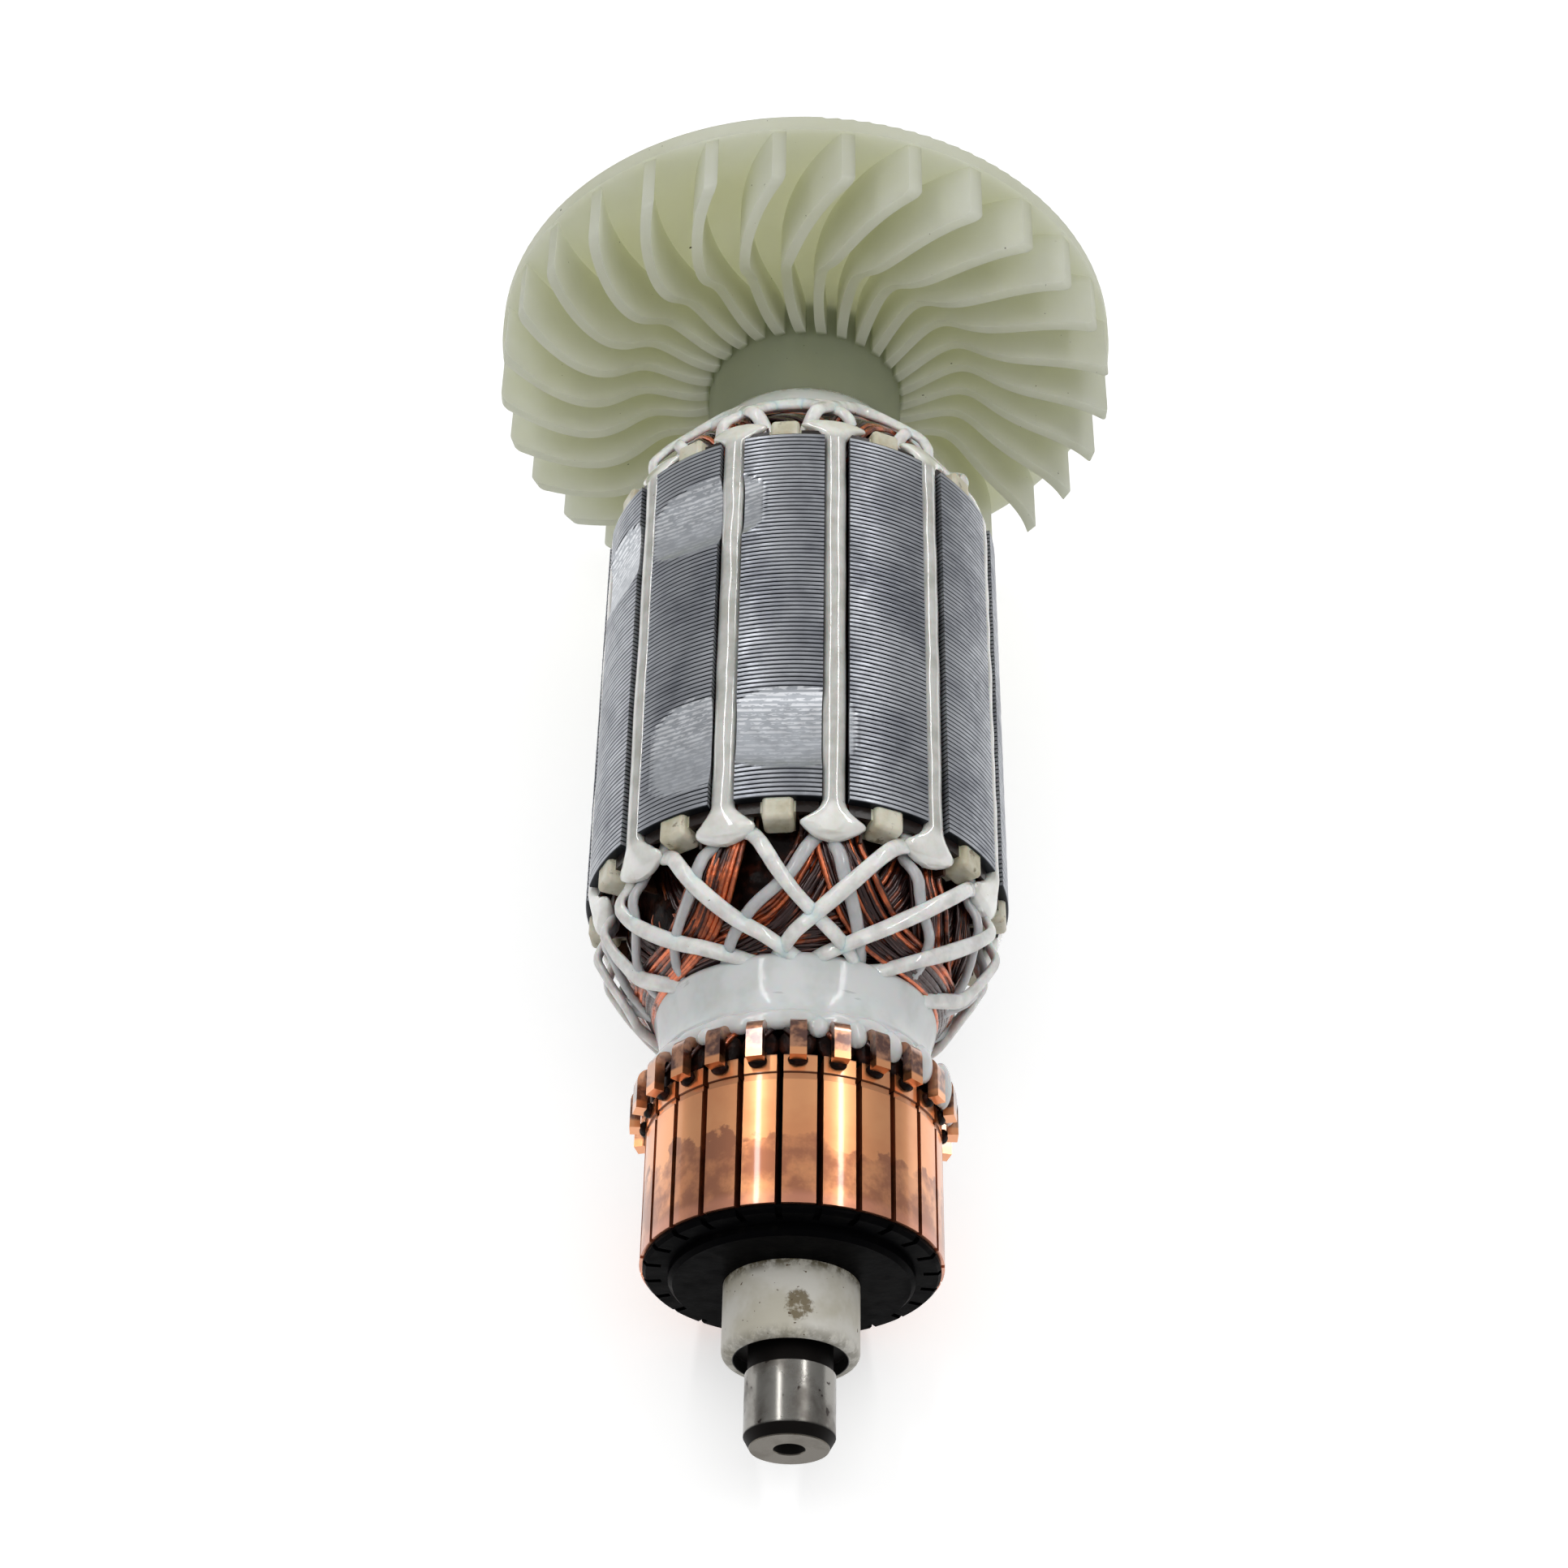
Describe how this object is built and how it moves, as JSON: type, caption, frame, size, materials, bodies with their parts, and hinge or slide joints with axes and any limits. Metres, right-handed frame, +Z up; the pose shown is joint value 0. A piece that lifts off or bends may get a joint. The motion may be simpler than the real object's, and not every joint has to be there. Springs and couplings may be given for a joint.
{
  "type": "motor armature",
  "caption": "Wound motor armature: laminated core on a steel shaft, with commutator, laced copper winding and curved-blade cooling fan.",
  "frame": {"origin": "centre of the bounding box in X and Y, on the surface that the armature lies on", "axes": "+Z up; the shaft runs along +Y, rising from the commutator end to the fan; +X to the right seen from the commutator end"},
  "size_m": [0.0682, 0.1532, 0.0682],
  "materials": {
    "ground_steel": "ground and lightly stained",
    "sleeve_plastic": "cream moulded plastic, stained",
    "phenolic": "black moulded phenolic",
    "commutator_copper": "turned copper with brown heat stains",
    "electrical_steel": "varnished edges of stacked sheets",
    "end_insulation": "cream moulded plastic",
    "enamelled_copper": "enamelled wire under glossy varnish",
    "liner_paper": "varnished white insulating paper",
    "wedge_plastic": "varnished white strip",
    "white_resin": "poured glossy resin",
    "lacing_cord": "resin-soaked white cord",
    "fan_nylon": "milky greenish white moulded nylon"
  },
  "bodies": {
    "root": {"shaft": "ground_steel", "shaft_sleeve": "sleeve_plastic", "commutator_hub": "phenolic", "commutator_bar_01": "commutator_copper", "commutator_bar_02": "commutator_copper", "commutator_bar_03": "commutator_copper", "commutator_bar_04": "commutator_copper", "commutator_bar_05": "commutator_copper", "commutator_bar_06": "commutator_copper", "commutator_bar_07": "commutator_copper", "commutator_bar_08": "commutator_copper", "commutator_bar_09": "commutator_copper", "commutator_bar_10": "commutator_copper", "commutator_bar_11": "commutator_copper", "commutator_bar_12": "commutator_copper", "commutator_bar_13": "commutator_copper", "commutator_bar_14": "commutator_copper", "commutator_bar_15": "commutator_copper", "commutator_bar_16": "commutator_copper", "commutator_bar_17": "commutator_copper", "commutator_bar_18": "commutator_copper", "commutator_bar_19": "commutator_copper", "commutator_bar_20": "commutator_copper", "commutator_bar_21": "commutator_copper", "commutator_bar_22": "commutator_copper", "commutator_bar_23": "commutator_copper", "commutator_bar_24": "commutator_copper", "lamination_stack": "electrical_steel", "front_end_insulator": "end_insulation", "rear_end_insulator": "end_insulation", "armature_winding": "enamelled_copper", "slot_liner_01": "liner_paper", "slot_wedge_01": "wedge_plastic", "slot_liner_02": "liner_paper", "slot_wedge_02": "wedge_plastic", "slot_liner_03": "liner_paper", "slot_wedge_03": "wedge_plastic", "slot_liner_04": "liner_paper", "slot_wedge_04": "wedge_plastic", "slot_liner_05": "liner_paper", "slot_wedge_05": "wedge_plastic", "slot_liner_06": "liner_paper", "slot_wedge_06": "wedge_plastic", "slot_liner_07": "liner_paper", "slot_wedge_07": "wedge_plastic", "slot_liner_08": "liner_paper", "slot_wedge_08": "wedge_plastic", "slot_liner_09": "liner_paper", "slot_wedge_09": "wedge_plastic", "slot_liner_10": "liner_paper", "slot_wedge_10": "wedge_plastic", "slot_liner_11": "liner_paper", "slot_wedge_11": "wedge_plastic", "slot_liner_12": "liner_paper", "slot_wedge_12": "wedge_plastic", "front_resin_collar": "white_resin", "rear_resin_collar": "white_resin", "front_lacing_cord": "lacing_cord", "rear_lacing_cord": "lacing_cord", "cooling_fan": "fan_nylon"}
  },
  "joints": []
}
